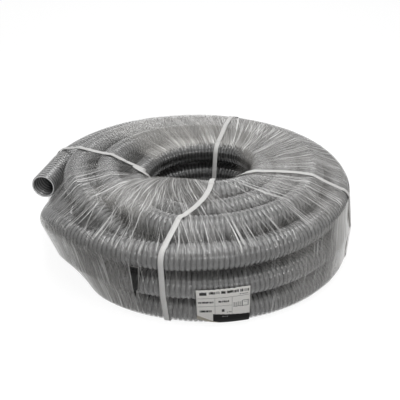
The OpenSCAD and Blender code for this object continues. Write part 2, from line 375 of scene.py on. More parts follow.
class Value:
    """What a node gives. Sums, products and comparisons with it add Math nodes to its tree."""

    def __init__(self, node, output=0):
        self.node, self.tree = node, node.id_data
        self.socket = node.outputs[output]

    def __add__(self, other):
        return calc("ADD", self, other)

    def __sub__(self, other):
        return calc("SUBTRACT", self, other)

    def __rsub__(self, other):
        return calc("SUBTRACT", other, self)

    def __mul__(self, other):
        return calc("MULTIPLY", self, other)

    def __truediv__(self, other):
        return calc("DIVIDE", self, other)

    def __rtruediv__(self, other):
        return calc("DIVIDE", other, self)

    def __gt__(self, other):
        return calc("GREATER_THAN", self, other)

    def __lt__(self, other):
        return calc("LESS_THAN", self, other)

    def held(self):
        """This value kept between 0 and 1."""
        self.node.use_clamp = True
        return self


def feed(socket, value):
    """Links a socket to the value that feeds it, or sets it to a plain number, vector or colour."""
    if isinstance(value, Value):
        value.tree.links.new(value.socket, socket)
    else:
        socket.default_value = value


def add(tree, kind, feeds=None, output=0, **settings):
    """What one new node gives: settings are its properties, feeds what goes into its sockets."""
    node = tree.nodes.new("ShaderNode" + kind)
    for name, value in settings.items():
        setattr(node, name, value)
    for socket, value in (feeds or {}).items():
        feed(node.inputs[socket], value)
    return Value(node, output)


def calc(operation, *values):
    """What one Math node gives; at least one of the values comes from a node."""
    tree = next(value.tree for value in values if isinstance(value, Value))
    return add(tree, "Math", dict(enumerate(values)), operation=operation)


def remap(value, low, high, to_low=0.0, to_high=1.0):
    """Value moved from the range low..high to the range to_low..to_high, and held there."""
    return add(value.tree, "MapRange", {0: value, 1: low, 2: high, 3: to_low, 4: to_high})


def blend(share, low, high):
    """Colour between low and high."""
    return add(share.tree, "Mix", {0: share, 6: low, 7: high}, 2, data_type="RGBA")


def painted(colour, *layers):
    """Colour under layers: each has the share of it that shows, and its own colour."""
    for share, layer in layers:
        colour = blend(share, colour, layer)
    return colour


def any_of(masks):
    """The largest of several masks."""
    whole = masks[0]
    for mask in masks[1:]:
        whole = calc("MAXIMUM", whole, mask)
    return whole


def parts_of(vector):
    """The three numbers of a vector."""
    node = add(vector.tree, "SeparateXYZ", {0: vector}).node
    return [Value(node, output) for output in range(3)]


def read(tree, name, output="Fac"):
    """The piece's own value or vector of the given name."""
    return add(tree, "Attribute", output=output, attribute_name=name)


def bumped(height, strength, distance):
    """Normals that a height gives."""
    return add(height.tree, "Bump", {"Height": height, "Strength": strength, "Distance": distance})


def grey(value, warm=0.0):
    """A grey of the given linear value; warm takes a little of it out of the blue."""
    return (value, value * (1 - 0.35 * warm), value * (1 - warm), 1.0)


def new_group(name, vectors, floats):
    """A node group that gives one Mask: the group, its inputs by name, and the Mask's socket."""
    group = bpy.data.node_groups.new(name, "ShaderNodeTree")
    for kind, sockets in (("Vector", vectors), ("Float", floats)):
        for socket in sockets:
            group.interface.new_socket(socket, in_out="INPUT", socket_type="NodeSocket" + kind)
    group.interface.new_socket("Mask", in_out="OUTPUT", socket_type="NodeSocketFloat")
    entry = group.nodes.new("NodeGroupInput")
    given = {socket: Value(entry, socket) for socket in (*vectors, *floats)}
    return group, given, group.nodes.new("NodeGroupOutput").inputs["Mask"]


def place(tree, group, **feeds):
    """The Mask of the group's node in a tree."""
    return add(tree, "Group", feeds, "Mask", node_tree=group)


def mottle_group():
    """Uneven patches in space: noise of the object's own coordinates, spread over 0 to 1."""
    group, given, mask = new_group("uneven_patches", (), ("Size", "Contrast"))
    where = add(group, "TexCoord", output="Object")
    noise = add(group, "TexNoise", {"Vector": where, "Scale": 1.0 / given["Size"], "Detail": 3.0})
    feed(mask, ((noise - 0.5) * given["Contrast"] + 0.5).held())
    return group


def streak_group():
    """Streaks along the wrap: noise that is quick round the bundle and slow along the belt."""
    group, given, mask = new_group("wrap_streaks", ("Round", "Way"), ("Count", "Run", "From", "To"))
    quick = [part * given["Count"] for part in parts_of(given["Round"])[:2]]
    slow = [part * given["Run"] for part in parts_of(given["Way"])[:2]]
    where = add(group, "CombineXYZ", {0: quick[0], 1: quick[1], 2: slow[0]})
    feeds = {"Vector": where, "W": slow[1], "Scale": 1.0, "Detail": 2.0, "Roughness": 0.6}
    noise = add(group, "TexNoise", feeds, noise_dimensions="4D")
    feed(mask, remap(noise, given["From"], given["To"]))
    return group


def fold_group():
    """One crease along the wrap: a thin line at a run of the film, which may shift along the way."""
    floats = ("Way", "Run", "Shift", "Width", "From", "To")
    group, given, mask = new_group("wrap_fold", ("Round",), floats)
    way = given["Way"]
    run = calc("RADIANS", (way - 0.5) * given["Shift"] + given["Run"])
    sine, cosine = calc("SINE", run), calc("COSINE", run)
    x, y, _ = parts_of(given["Round"])
    beside, ahead = y * cosine - x * sine, x * cosine + y * sine
    line = (1.0 - calc("ABSOLUTE", beside) / calc("RADIANS", given["Width"])).held()
    start, finish = remap(way - given["From"], 0.0, 0.03), remap(given["To"] - way, 0.0, 0.03)
    feed(mask, line * (ahead > 0.0) * start * finish)
    return group


def box_group():
    """1 inside a box of the sheet: Left to Right across and Low to High up, sharp at its edges."""
    group, given, mask = new_group("printed_box", ("Sheet",), ("Left", "Right", "Low", "High"))
    across, up, _ = parts_of(given["Sheet"])
    wide = (across > given["Left"]) * (across < given["Right"])
    feed(mask, wide * (up > given["Low"]) * (up < given["High"]))
    return group


PATCHES = mottle_group()
STREAKS = streak_group()
FOLD = fold_group()
BOX = box_group()


def new_material(name):
    """A material made of nodes, and its tree."""
    material = bpy.data.materials.new(name)
    material.use_nodes = True
    return material, material.node_tree


def principled(tree, **feeds):
    """Feeds the Principled shader's sockets, whose names have underscores for spaces."""
    for socket, value in feeds.items():
        feed(tree.nodes["Principled BSDF"].inputs[socket.replace("_", " ")], value)


# ------------------------ materials

# Marks that the hose carries past its crests, which are 1: inside the mouth, which paint the bore paler as
# painted light, and on the cut rim, which paint a painted highlight
BORE_LIGHT_MARK, RIM_HIGHLIGHT_MARK = 1.25, 1.5

# Share of the film that acts as its clear, shiny skin where there is no haze
SKIN_COVER = 0.04
# Creases that show: run of the wrap at mid way, its shift along the way, width, from, to, strength
WRAP_FOLDS = (
    (212.0, 75.0, 0.6, 0.40, 0.55, 0.55),
    (209.5, 70.0, 0.5, 0.42, 0.54, 0.40),
    (225.4, 35.0, 0.6, 0.38, 0.525, 0.45),
    (239.0, -50.0, 0.4, 0.38, 0.53, 0.25),
    (251.8, 30.0, 0.45, 0.41, 0.49, 0.30),
    (265.0, 90.0, 0.4, 0.40, 0.475, 0.20),
    (249.0, 12.0, 0.4, 0.35, 0.46, 0.30),
    (239.9, -15.0, 0.35, 0.29, 0.385, 0.45),
    (233.8, 0.0, 0.4, 0.33, 0.375, 0.30),
    (236.2, -12.0, 0.35, 0.15, 0.25, 0.22),
    (230.8, -22.0, 0.35, 0.15, 0.21, 0.22),
    (284.6, 0.0, 0.4, 0.32, 0.385, 0.32),
    (288.6, 0.0, 0.45, 0.345, 0.385, 0.38),
    (298.4, 0.0, 0.3, 0.335, 0.38, 0.38),
    (305.3, 0.0, 0.25, 0.33, 0.37, 0.35),
)
# The torn slit: its way from foot to top, its upright edge, its far edge's top, and that edge's slopes
SLIT_WAY = (0.1448, 0.2118)
SLIT_AZ, SLIT_TOP_AZ = 248.75, 251.5
SLIT_SLOPES = (45.8, 31.0)
# Hem round the slit: how far it reaches in azimuth and in way
HEM_AZ, HEM_WAY = 0.22, 0.004

# Embossing and grain of the straps: across and along the strip, in radians or cells for each metre
WAFFLE_RATES = (4200.0, 3100.0)
GRAIN_RATES = (900.0, 22.0, 1.0)

# Print on the label, in shares of the sheet: left, right, low, high; dashed bars add rate and seed
LABEL_RULES = (
    (0.02, 0.985, 0.785, 0.797),
    (0.02, 0.655, 0.552, 0.563),
    (0.335, 0.343, 0.20, 0.790),
    (0.655, 0.663, 0.20, 0.790),
)
LABEL_BLOCKS = ((0.06, 0.19, 0.875, 0.945), (0.465, 0.515, 0.375, 0.455))
LABEL_BARS = (
    (0.235, 0.975, 0.895, 0.950, 62.0, 7.7),
    (0.80, 0.96, 0.835, 0.855, 90.0, 2.2),
    (0.03, 0.31, 0.648, 0.698, 62.0, 1.3),
    (0.405, 0.60, 0.655, 0.705, 62.0, 5.9),
    (0.05, 0.28, 0.385, 0.445, 62.0, 9.2),
    (0.55, 0.65, 0.355, 0.372, 60.0, 4.1),
)
BAND_BAR = (0.47, 0.60, 0.225, 0.255, 60.0, 4.4)
# The tube sign: a ribbed stretch, the line under it, and a socket drawn as an outline
SIGN_TUBE = (0.68, 0.85, 0.50, 0.625)
SIGN_RIB_RATE = 165.0
SIGN_LINES = (
    (0.68, 0.85, 0.50, 0.513),
    (0.85, 0.97, 0.640, 0.656),
    (0.85, 0.97, 0.490, 0.506),
    (0.957, 0.973, 0.490, 0.656),
    (0.845, 0.861, 0.490, 0.656),
    (0.88, 0.945, 0.60, 0.61),
)


def hose_material():
    """Grey flexible plastic, mottled, with rubbed crests; painted shade in grooves, bore and hole, painted
    light in the mouth and a painted highlight on the rim.
    """
    material, tree = new_material("grey_hose")
    crest = read(tree, "crest")
    broad = place(tree, PATCHES, Size=0.09, Contrast=1.6)
    fine = place(tree, PATCHES, Size=0.004, Contrast=2.2)
    colour = painted(
        blend(broad, grey(0.155), grey(0.20)),
        # Painted shade: the grooves are darkened by the crest value
        (remap(crest, 0.2, 0.92, 0.95, 0.0), grey(0.015)),
        (remap(crest, 0.8, 1.0) * fine * 0.15, grey(0.30)),
        # Painted light: paler inside the mouth, and a painted highlight on the cut rim
        (remap(crest, 1.0, RIM_HIGHLIGHT_MARK), grey(0.72)),
        # Painted shade: the hose is darker inside the hole
        (read(tree, "painted_hole_shade") * 0.62, grey(0.01)),
    )
    rough = remap(broad, 0.2, 0.8, 0.17, 0.26)
    principled(tree, Base_Color=colour, Roughness=rough, Normal=bumped(fine, 0.05, 0.0003),
               Specular_IOR_Level=0.5, Coat_Weight=0.8, Coat_Roughness=0.1)
    return material


def film_streak_masks(first, second, way):
    """Streaks of four finenesses along the wrap: broad bands, middling, fine ones and hairs."""
    tree = way.tree
    return (
        place(tree, STREAKS, Round=first, Way=way, Count=7.0, Run=0.5, From=0.3, To=0.7),
        place(tree, STREAKS, Round=second, Way=way, Count=40.0, Run=0.8, From=0.42, To=0.7),
        place(tree, STREAKS, Round=first, Way=way, Count=110.0, Run=1.2, From=0.57, To=0.65),
        place(tree, STREAKS, Round=second, Way=way, Count=170.0, Run=1.8, From=0.56, To=0.68),
    )


def film_folds(first, way):
    """The single creases, each as strong as its row says, added up."""
    names = ("Run", "Shift", "Width", "From", "To")
    lines = [place(way.tree, FOLD, Round=first, Way=way, **dict(zip(names, row))) * row[-1]
             for row in WRAP_FOLDS]
    return sum(lines[1:], lines[0])


def slit_mask(az, way, wide, long):
    """1 in the slit low at the left: upright on one side, and drawn together towards its foot."""
    foot, top = SLIT_WAY
    steep, flat = SLIT_SLOPES
    near_foot = way * steep + (SLIT_AZ - steep * foot + wide)
    near_top = way * flat + (SLIT_TOP_AZ - flat * top + wide)
    across = (az > SLIT_AZ - wide) * (az < calc("MINIMUM", near_foot, near_top))
    return across * (way > foot - long) * (way < top + long / 4)


def film_material():
    """Clear glossy stretch film: faint haze, light streaks and creases along the wrap, partly painted
    reflection; a torn slit and two gaps with painted shade.
    """
    material, tree = new_material("stretch_film")
    dim, streaky = read(tree, "dim"), read(tree, "streaky")
    first, second = read(tree, "round_a", "Vector"), read(tree, "round_b", "Vector")
    bands, mid, fine, hair = film_streak_masks(first, second, read(tree, "way", "Vector"))
    tufts = place(tree, PATCHES, Size=0.04, Contrast=1.6)
    streaks = (fine * 0.8 * tufts + hair * 0.34 + read(tree, "crease") * 0.04) * streaky
    az, way, _ = parts_of(read(tree, "spot", "Vector"))
    fold = film_folds(first, way)
    veil = mid * 0.7 + remap(bands, 0.0, 1.0, 0.6, 1.1)
    grazing = add(tree, "LayerWeight", {"Blend": 0.3}, "Facing")
    sheen = grazing * grazing * read(tree, "edge")
    cover = (veil * read(tree, "haze") + streaks + fold + sheen).held()

    slit = slit_mask(az, way, 0.0, 0.0)
    hem = slit_mask(az, way, HEM_AZ, HEM_WAY) - slit
    cover = calc("MAXIMUM", cover, hem * 0.45) * (1.0 - slit)
    # Painted shade: the slit and the gaps get dark cover, so the hose under them looks shaded
    skin = (cover + SKIN_COVER + slit * 0.45 + read(tree, "shade")).held()

    # Partly painted reflection: the white of streaks and creases stands in for light off the film's creases
    light = remap(streaks + fold, 0.0, 0.25)
    # Dim milk is darker; at the left side that darkening is painted shade
    milky = blend(dim, grey(0.55, 0.08), grey(0.18, 0.10))
    colour = blend(cover / skin, grey(0.01), blend(light, milky, grey(0.88, 0.02)))
    rough = (remap(bands, 0.0, 1.0, 0.16, 0.26) + slit + dim * 0.14).held()
    height = (mid * 0.5 + fine * 0.4) * streaky + fold
    # Painted shade in the slit: its colour is nearly black
    principled(tree, Base_Color=blend(slit, colour, grey(0.004)), Alpha=skin, Roughness=rough,
               Normal=bumped(height, 0.2, 0.0004), Specular_IOR_Level=0.6, IOR=1.5,
               Coat_Weight=(0.3 - (dim * 0.3 + slit)).held(), Coat_Roughness=0.16)
    return material


def strap_material():
    """White packing strap: fine waffle embossing, faint lengthwise grain and duller patches."""
    material, tree = new_material("white_strap")
    strip = read(tree, "strip", "Vector")
    across, along, _ = parts_of(strip)
    waffle = calc("SINE", across * WAFFLE_RATES[0]) * calc("SINE", along * WAFFLE_RATES[1])
    stretched = add(tree, "VectorMath", {0: strip, 1: GRAIN_RATES}, operation="MULTIPLY")
    grain = add(tree, "TexNoise", {"Vector": stretched, "Scale": 1.0, "Detail": 2.0})
    broad = place(tree, PATCHES, Size=0.05, Contrast=1.8)
    colour = blend(grain, grey(0.64, 0.03), grey(0.78, 0.02))
    colour = blend(broad * 0.25, colour, grey(0.62, 0.05))
    principled(tree, Base_Color=colour, Roughness=remap(grain, 0.3, 0.7, 0.34, 0.5),
               Normal=bumped(grain * 0.6 + waffle, 0.35, 0.0002), Specular_IOR_Level=0.45)
    return material


def label_box(sheet, left, right, low, high):
    """A plain printed rectangle."""
    return place(sheet.tree, BOX, Sheet=sheet, Left=left, Right=right, Low=low, High=high)


def label_bar(sheet, left, right, low, high, rate, seed):
    """A printed bar broken into short dashes of uneven length."""
    feeds = {0: sheet, 1: (rate, 0.0, 0.0), 2: (seed, seed, 0.0)}
    moved = add(sheet.tree, "VectorMath", feeds, operation="MULTIPLY_ADD")
    noise = add(sheet.tree, "TexNoise", {"Vector": moved, "Scale": 1.0, "Detail": 0.0})
    return label_box(sheet, left, right, low, high) * (noise > 0.40)


def label_material():
    """Off-white paper: a ruled form, bars for entries, a black foot band, a tube sign, a turned corner."""
    material, tree = new_material("paper_label")
    sheet = read(tree, "sheet", "Vector")
    across, up, _ = parts_of(sheet)
    rules = any_of([label_box(sheet, *edges) for edges in LABEL_RULES])
    bars = [label_box(sheet, *edges) for edges in LABEL_BLOCKS]
    bars = any_of(bars + [label_bar(sheet, *edges) for edges in LABEL_BARS])
    tube = (calc("SINE", across * SIGN_RIB_RATE) > 0.3) * label_box(sheet, *SIGN_TUBE)
    sign = any_of([tube] + [label_box(sheet, *edges) for edges in SIGN_LINES])
    dust = place(tree, PATCHES, Size=0.012, Contrast=1.5)
    fibre = place(tree, PATCHES, Size=0.0008, Contrast=2.0)
    colour = painted(
        blend(dust, grey(0.86, 0.06), grey(0.92, 0.04)),
        (rules * 0.65, grey(0.12)),
        (bars * 0.95, grey(0.015)),
        (sign * 0.8, grey(0.06)),
        ((across * 0.08 + up < 0.345) * (across > 0.30), grey(0.006)),
        (label_bar(sheet, *BAND_BAR) * 0.6, grey(0.35)),
        (across * 0.62 + up < 0.30, grey(0.46, 0.22)),
    )
    principled(tree, Base_Color=colour, Alpha=1.0 - (across * 0.42 + up < 0.19), Roughness=0.6,
               Normal=bumped(fibre, 0.2, 0.0002), Specular_IOR_Level=0.08)
    return material


HOSE = hose_material()
FILM = film_material()
STRAP = strap_material()
PAPER = label_material()

# ------------------------ the hose

SIDES = 16
MOUTH_SIDES = 48
WALL = 0.0022
RIM_BEVEL = 0.0004
# How much of the wound hose the mouth's piece takes, and how far in each end's bore is closed
END_STRETCH = 0.24
MOUTH_BORE_FOOT, INNER_BORE_DEPTH = 0.002, 0.05
# Radius of the hole left in a closed bore, and the least distance from the last ring to the rim
TIP_R, LAST_RING_GAP = 0.002, 0.0009
# How far in the painted shade darkens the hose towards the axis, in the hole
HOLE_SHADE_DEPTH = 0.012
RINGS_PER_RIB = 8
RIB_PHASES = np.array([0.0, 0.34, 0.5, 0.66])


def groove_share(phase):
    """Depth of the outline along one rib, 0 to 1: a broad crest at phase 0, a narrow groove at a half."""
    return np.sin(np.pi * phase) ** 10


def rib_radius(phase):
    """Outer radius along one rib: the hose's radius less its groove."""
    return HOSE_R - GROOVE * groove_share(phase)


def tube_rings(way, radius, sides):
    """Rings of the given radius round the centreline, and the rings' middles."""
    middle, along = centreline(way)
    across = unit(np.cross(along, [0.0, 0.0, 1.0]))
    up = np.cross(across, along)
    angle = 2 * np.pi * np.arange(sides) / sides
    ring = np.cos(angle)[None, :, None] * across[:, None] + np.sin(angle)[None, :, None] * up[:, None]
    return middle[:, None] + radius[:, None, None] * ring, middle


def tube_piece(name, way, radius, sides, crest):
    """A closed tube: rings along the centreline, quads between them, and a flat end at both.

    Its crest value paints shade into the grooves, and painted shade grows towards the winding's axis, in
    the hole.
    """
    points, middle = tube_rings(way, radius, sides)
    quads = grid_faces(len(way), sides, closed_columns=True)[:, ::-1]
    last = (len(way) - 1) * sides + np.arange(sides)
    piece = make_piece(name, points, quads, HOSE, [np.arange(sides), last[::-1]])
    give(piece, "crest", np.repeat(crest, sides))
    from_axis = np.hypot(points[..., 0] - AXIS_X, points[..., 1])
    # Painted shade: darker towards the winding's axis, in the hole
    give(piece, "painted_hole_shade", eased((INNER_R_TOP - from_axis) / HOLE_SHADE_DEPTH).ravel())
    return piece, middle


def wound_hose():
    """The wound part: four rings to a rib on loops that show, two on foot loops, few inside."""
    coil_end = WOUND_LENGTH - END_STRETCH
    number = np.arange(int(coil_end / RIB_PITCH) - 1)
    way = coil_end - (number[:, None] + RIB_PHASES[None, :]) * RIB_PITCH
    t = np.interp(way, FINE_WAY, FINE_TURNS)
    shows = (t < OUT_FIRST) | ((t > UP_MIDDLE[1] - 0.05) & (t < DOWN_MIDDLE[0] + 0.2)) | (t > OUT_THIRD)
    foot = ((t < UP_MIDDLE[0]) | (t > DOWN_MIDDLE[1])) & ~shows
    place_in_rib = np.arange(len(RIB_PHASES))[None, :]
    kept = shows | (foot & (place_in_rib % 2 == 0)) | ((number[:, None] % 5 == 0) & (place_in_rib == 0))
    depth = groove_share(RIB_PHASES)
    outer = np.broadcast_to(HOSE_R - GROOVE * depth, way.shape)
    crest = np.broadcast_to(1 - depth, way.shape)
    order = np.argsort(way[kept])
    way, outer, crest = way[kept][order], outer[kept][order], crest[kept][order]
    # The inner end: a short closed bore, painted dark as shade by its marks of 0, then its rounded rim
    bore_way = np.array([INNER_BORE_DEPTH, INNER_BORE_DEPTH, 0.0, 0.0, RIM_BEVEL])
    bore_r = np.array([TIP_R, BORE_R, BORE_R, HOSE_R - 0.0006, HOSE_R - 0.0001])
    piece, middle = tube_piece(
        "hose",
        np.concatenate([bore_way, way]),
        np.concatenate([bore_r, outer]),
        SIDES,
        np.concatenate([np.zeros(3), np.ones(2), crest]),
    )
    return piece, middle[3:]


def hose_mouth():
    """The last stretch with its open end: ribs outside and inside, of one wall thickness."""
    start = WOUND_LENGTH - END_STRETCH
    finish = WOUND_LENGTH + END_LENGTH
    outer_way = np.arange(start, finish - LAST_RING_GAP, RIB_PITCH / RINGS_PER_RIB)
    phase = np.mod((outer_way - start) / RIB_PITCH, 1.0)
    outer = rib_radius(phase)
    crest = 1 - groove_share(phase)
    edge_r = float(rib_radius((finish - start) / RIB_PITCH % 1.0))
    inner_way = outer_way[outer_way > WOUND_LENGTH + MOUTH_BORE_FOOT][::-1]
    inner_phase = np.mod((inner_way - start) / RIB_PITCH, 1.0)
    inner = rib_radius(inner_phase) - WALL
    # Inside the mouth the crests are painted paler, as painted light, and the grooves dark, as painted
    # shade
    inner_crest = BORE_LIGHT_MARK - 0.85 * groove_share(inner_phase)
    before = finish - RIM_BEVEL
    way = np.concatenate([outer_way, [before, finish, finish, before], inner_way, inner_way[-1:]])
    rim = [edge_r, edge_r - RIM_BEVEL, edge_r - WALL + RIM_BEVEL, edge_r - WALL]
    radius = np.concatenate([outer, rim, inner, [TIP_R]])
    # Painted highlight: the rim's marks paint it pale; the closing tip's mark of 0 paints shade deep in the
    # bore
    marks = np.concatenate([crest, [1.3, RIM_HIGHLIGHT_MARK, RIM_HIGHLIGHT_MARK, RIM_HIGHLIGHT_MARK], inner_crest, [0.0]])
    return tube_piece("hose_mouth", way, radius, MOUTH_SIDES, marks)[0]


hose, hose_path = wound_hose()
mouth = hose_mouth()
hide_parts("hose_coil")
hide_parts("hose_end")

# ------------------------ the film

FILM_COLUMNS = 480
FILM_ROWS = 96
FILM_SHEET_T = 0.0003
TWIST = math.radians(22)
HOLE_R, SIDE_R = 0.079, 0.298
# The film's sleeve round the straight end
SLEEVE_R = 0.0238
CREASES = 130
CREASE_LIFT, HOLLOW_DEPTH = 0.00045, 0.0014
SETTLE_STEPS = 12
rng = np.random.default_rng(11)


def turned(angle):
    """An angle brought between minus and plus half a turn."""
    return np.mod(angle + np.pi, 2 * np.pi) - np.pi


def run_azimuth(run, way):
    """Azimuth of each run of the wrap, which is wound on at a slant.

    It lags in the hole by the twist and catches up with the square of the distance left to the
    side, so the azimuth is found by going round the rule until it settles.
    """
    az = run + 0.0 * way
    for _ in range(SETTLE_STEPS):
        corner, facing, _ = on_belt(az, way)
        out = corner[..., 0] + BELT_R * np.cos(facing)
        inward = 1 - np.clip((out - HOLE_R) / (SIDE_R - HOLE_R), 0, 1)
        az = run - TWIST * inward**2
    return az


def slack_of(az, corner, facing):
    """0 where the film lies on a loop, 1 where it spans a hollow at least 8 mm away from one."""
    flat = corner + BELT_R * flat_way(facing)
    away = np.linalg.norm(belt_corners(az) - flat[..., None, :], axis=-1).min(-1)
    return np.clip((away - BELT_R - 0.0004) / 0.008, 0, 1)


def fold_heights(run, way, count, widths):
    """Creases along the wrap: bells across the run, each with its own width, height and reach."""
    middle = rng.uniform(0, 2 * np.pi, count)
    width = rng.uniform(*widths, count)
    height = rng.uniform(0.2, 1.0, count)
    centre = rng.uniform(0, 1, count)
    reach = rng.uniform(0.1, 0.35, count)
    slant = rng.uniform(-0.25, 0.25, count)
    total = np.zeros(np.broadcast_shapes(run.shape, way.shape))
    for k in range(count):
        along = turned(2 * np.pi * (way - centre[k])) / (2 * np.pi)
        across = turned(run - middle[k] + slant[k] * along)
        total += height[k] * np.exp(-((across / width[k]) ** 2) - (along / reach[k]) ** 2)
    return total


def film_wrap():
    """The wrap round the whole bundle, with its creases, and a gap where the straight end leaves."""
    run = 2 * np.pi * np.arange(FILM_COLUMNS)[:, None] / FILM_COLUMNS
    way = np.arange(FILM_ROWS)[None, :] / FILM_ROWS
    az = run_azimuth(run, way)
    run, way = np.broadcast_arrays(run, way)
    corner, facing, _ = on_belt(az, way)
    slack = slack_of(az, corner, facing)
    folds = fold_heights(run, way, CREASES, (0.014, 0.03))
    hollows = fold_heights(run, way, CREASES, (0.02, 0.05))
    raised = CREASE_LIFT * np.clip(folds, 0, 1.2) * (1 - slack)
    lift = raised - slack * HOLLOW_DEPTH * np.clip(hollows, 0, 1.5)
    points = belt_place(az, way, BELT_R) + lift[..., None] * outward(az, facing)

    from_end = points - END_POINT
    along = from_end @ END_WAY
    across = from_end - along[..., None] * END_WAY
    off = np.linalg.norm(across, axis=-1)
    inside = (off < SLEEVE_R) & (along > -0.002) & (along < END_LENGTH + 0.004)
    pushed = points + (SLEEVE_R / np.maximum(off, 1e-6) - 1)[..., None] * across
    points = np.where(inside[..., None], pushed, points)
    quads = grid_faces(FILM_COLUMNS, FILM_ROWS, closed_rows=True, closed_columns=True)
    quads = quads[~inside.ravel()[quads].all(1)]

    used = np.unique(quads)
    renumber = np.full(FILM_COLUMNS * FILM_ROWS, -1)
    renumber[used] = np.arange(len(used))
    piece = make_piece("film", points.reshape(-1, 3)[used], renumber[quads], FILM)
    turn = 2 * np.pi * way
    run_b = run + 0.35 * np.sin(turn + 0.6) * np.cos(2 * run + 1.0)
    az, up = np.degrees(az), np.degrees(facing)
    out = corner[..., 0] + BELT_R * np.cos(facing)
    zero = np.zeros(way.shape)
    vectors = {"spot": (az, way, zero)}
    for name, angle in (("round_a", run), ("round_b", run_b), ("way", turn)):
        vectors[name] = (np.cos(angle), np.sin(angle), zero)
    for name, parts in vectors.items():
        give(piece, name, np.stack(parts, -1).reshape(-1, 3)[used])
    masks = {
        "haze": film_haze(az, out, up, slack),
        "dim": film_dimness(az, out, up),
        "edge": film_edge(az, up),
        "shade": film_painted_shade(az, way, out, up),
        "crease": np.clip(folds, 0, 1.5),
        "streaky": film_streaks(az, out, up, slack),
    }
    for name, values in masks.items():
        give(piece, name, values.ravel()[used])
    thick = piece.modifiers.new("sheet", "SOLIDIFY")
    thick.thickness = FILM_SHEET_T
    thick.offset = 0.0
    return piece


# Ways that the film faces, in degrees from level outwards: middle, half width and soft edge
TOP, SIDE, WIDE_SIDE = (90, 40, 25), (-8, 14, 16), (-8, 22, 14)
HOLE_RIM, HOLE_WALL, FRONT_SHOULDER = (108, 14, 14), (172, 42, 22), (66, 26, 16)
# Distances from the axis: the tent's outer end, the milky front left, the innermost loop's top, a gap given
# painted shade
TENT_OUT, FRONT_LEFT_OUT, LOOP_TOP_OUT, OUTER_GAP_OUT = 0.165, 0.235, 0.113, 0.279
# Way of the gap below the hole's top loop, given painted shade
HOLE_GAP_WAY = 0.6585
# Zones of the film: strength, the way it faces, and its azimuth's middle, half width and soft edge
HAZE_ZONES = (
    (0.22, TOP, (38, 30, 24)),
    (0.24, HOLE_RIM, (92, 44, 22)),
    (0.07, TOP, (338, 16, 16)),
    (0.05, SIDE, (218, 22, 16)),
    (0.62, SIDE, (352, 10, 28)),
    (0.11, SIDE, (322, 12, 20)),
    (0.16, HOLE_WALL, (0, 18, 30)),
)
# The dim zone at the left side is painted shade on layers in shadow
DIM_ZONES = ((0.75, TOP, (38, 30, 24)), (0.5, SIDE, (222, 26, 16)))
EDGE_ZONES = ((1.6, WIDE_SIDE, (218, 24, 12)), (0.35, WIDE_SIDE, (350, 20, 16)))
STREAK_ZONES = (
    (0.75, FRONT_SHOULDER, (272, 68, 16)),
    (0.45, TOP, (205, 12, 12)),
    (0.60, TOP, (35, 35, 25)),
    (0.45, SIDE, (232, 20, 14)),
    (0.25, SIDE, (320, 18, 14)),
)


def zones(az, up, rows):
    """Sum over rows of strength, nearness of the facing and nearness of the azimuth, multiplied."""
    return sum(strength * near(up, *facing) * near(az, *azimuth) for strength, facing, azimuth in rows)


def film_tent(az, out, up):
    """1 on the slack sheet that spans the hose's start, front left of the hole."""
    return near(up, 96, 26, 16) * near(az, 246, 22, 16) * below(out, TENT_OUT, 0.03)


def film_painted_glint(az, out, up):
    """1 where the film lies over the top of the innermost loop, at the back of the hole; there white haze
    and streaks are a painted highlight.
    """
    loop_top = within(out, LOOP_TOP_OUT, 0.010, 0.006)
    return near(up, 119, 14, 10) * near(az, 88, 50, 18) * loop_top


def film_haze(az, out, up, slack):
    """How milky the film is, as cover: most at the right side, the tent and the hole's rim, where part of
    it is a painted highlight over the innermost loop.
    """
    haze = 0.012 + 0.02 * slack + zones(az, up, HAZE_ZONES)
    # The haze over the innermost loop's top is a painted highlight
    haze = haze + 0.24 * film_tent(az, out, up) + 0.22 * film_painted_glint(az, out, up)
    haze = haze + 0.12 * near(up, *TOP) * near(az, 232, 12, 10) * below(out, FRONT_LEFT_OUT, 0.015)
    return haze * (1 - 0.9 * near(up, *HOLE_WALL) * near(az, 92, 46, 18))


def film_dimness(az, out, up):
    """How dim the film's milk is, where several layers lie flat; at the left side the dimming is painted
    shade.
    """
    return np.clip(film_tent(az, out, up) + zones(az, up, DIM_ZONES), 0, 1)


def film_edge(az, up):
    """How much cover the film gains where it is seen edge on: most where slack layers pile up."""
    return 0.04 + zones(az, up, EDGE_ZONES)


def film_painted_shade(az, way, out, up):
    """Painted shade on the film over two deep gaps, as dark cover: front left by the outermost loop, and in
    the hole.
    """
    outer_gap = within(out, OUTER_GAP_OUT, 0.0045, 0.005)
    hole_gap = within(way, HOLE_GAP_WAY, 0.001, 0.0035)
    shade = 0.85 * near(up, 68, 14, 10) * near(az, 219, 8, 18) * outer_gap
    return shade + 0.5 * near(up, 172, 10, 10) * near(az, 96, 40, 20) * hole_gap


def film_streaks(az, out, up, slack):
    """How strongly the thin white creases show, their white partly painted reflection, 0 to 1; hardly at
    all on the hole's back wall, strongly as a painted highlight over the innermost loop's top.
    """
    much = 0.18 + 0.10 * slack + zones(az, up, STREAK_ZONES)
    much = much * (1 - 0.95 * near(up, *HOLE_WALL) * near(az, 80, 70, 20))
    return np.clip(much + 0.8 * film_painted_glint(az, out, up), 0, 1)


film = film_wrap()
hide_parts("film_wrap")

# ------------------------ the straps

FILM_R = HOSE_R + FILM_GAP + FILM_T
STRAP_STATIONS = 300
STRAP_EDGE = 0.00025
LAP_WAYS = (0.478, 0.532)
LAP_STATIONS = 24
BAND_SIDES = 8
# Between these distances from the axis a strap runs straight on underneath
UNDER_OUT = (0.102, 0.252)
